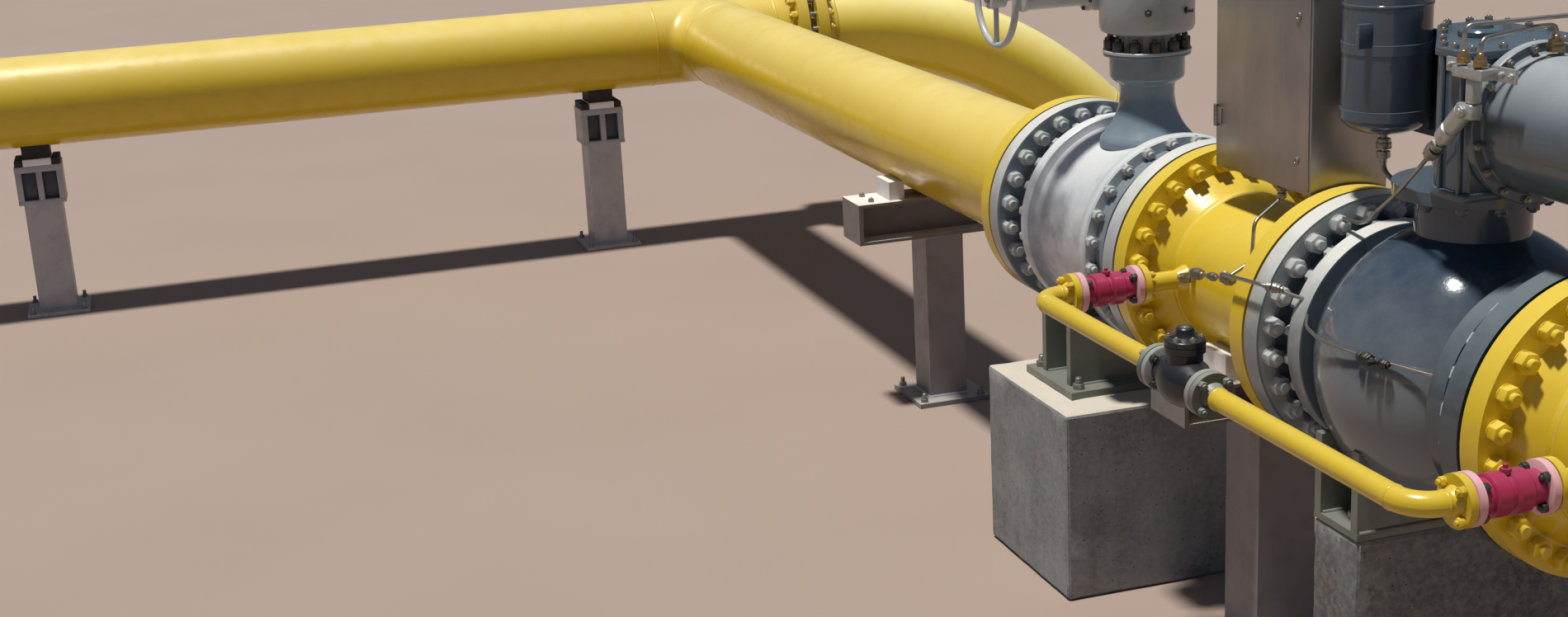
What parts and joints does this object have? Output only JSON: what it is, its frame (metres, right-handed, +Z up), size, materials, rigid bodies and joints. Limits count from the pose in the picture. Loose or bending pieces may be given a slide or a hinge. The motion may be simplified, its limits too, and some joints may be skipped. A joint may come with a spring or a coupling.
{
  "type": "elevated gas pipe run with valve train",
  "caption": "Large yellow gas pipe carried clear of the ground on posts and piers, with a tee, flanged shut-off valves, a bypass and a bend into the ground.",
  "frame": {"origin": "on the ground, at the middle of the underside of the pier under the first main valve", "axes": "+X along the header towards the bend that leads it into the ground, -Y along the valve train towards its outlet, +Z up"},
  "size_m": [11.2343, 9.9865, 2.518],
  "materials": {
    "yellow_paint": "gloss",
    "blue_grey_paint": "satin",
    "light_grey_paint": "satin",
    "gear_paint": "satin",
    "insulating_board": "matte",
    "cabinet_steel": "brushed",
    "frame_paint": "satin",
    "crimson_paint": "satin",
    "black_paint": "satin",
    "post_paint": "matte",
    "dark_paint": "satin",
    "pad_rubber": "matte",
    "concrete": "rough"
  },
  "bodies": {
    "pipe_run": {"header_pipe": "yellow_paint", "header_tee": "yellow_paint", "header_flanges": "yellow_paint", "insulating_ring": "insulating_board", "descent_bend": "yellow_paint", "descent_pipe": "yellow_paint", "branch_pipe": "yellow_paint", "train_flanges": "yellow_paint", "spool_pipe": "yellow_paint", "outlet_pipe": "yellow_paint", "first_closures": "blue_grey_paint", "first_barrel": "light_grey_paint", "first_column": "blue_grey_paint", "gear_drive": "gear_paint", "second_closures": "blue_grey_paint", "second_body": "blue_grey_paint", "second_bonnet": "blue_grey_paint", "yoke_housing": "blue_grey_paint", "drive_cylinder": "light_grey_paint", "upright_tank": "blue_grey_paint", "mounting_frame": "frame_paint", "control_cabinet": "cabinet_steel", "bypass_stubs": "yellow_paint", "bypass_flanges": "yellow_paint", "bypass_elbows": "yellow_paint", "bypass_pipes": "yellow_paint", "stub_valves": "crimson_paint", "throttle_valve": "black_paint", "header_posts": "post_paint", "post_heads": "dark_paint", "saddle_pads": "pad_rubber", "cross_posts": "post_paint", "cross_beams": "post_paint", "cross_stops": "post_paint", "first_pier": "concrete", "second_pier": "concrete", "first_foot": "dark_paint", "second_foot": "dark_paint"},
    "hand_wheel": {"hand_wheel": "light_grey_paint"}
  },
  "joints": [
    {"name": "hand_wheel_turn", "type": "hinge", "parent": "pipe_run", "child": "hand_wheel", "pos_m": [-0.508, 0.12, 2.05], "axis": [1, 0, 0], "continuous": true}
  ]
}
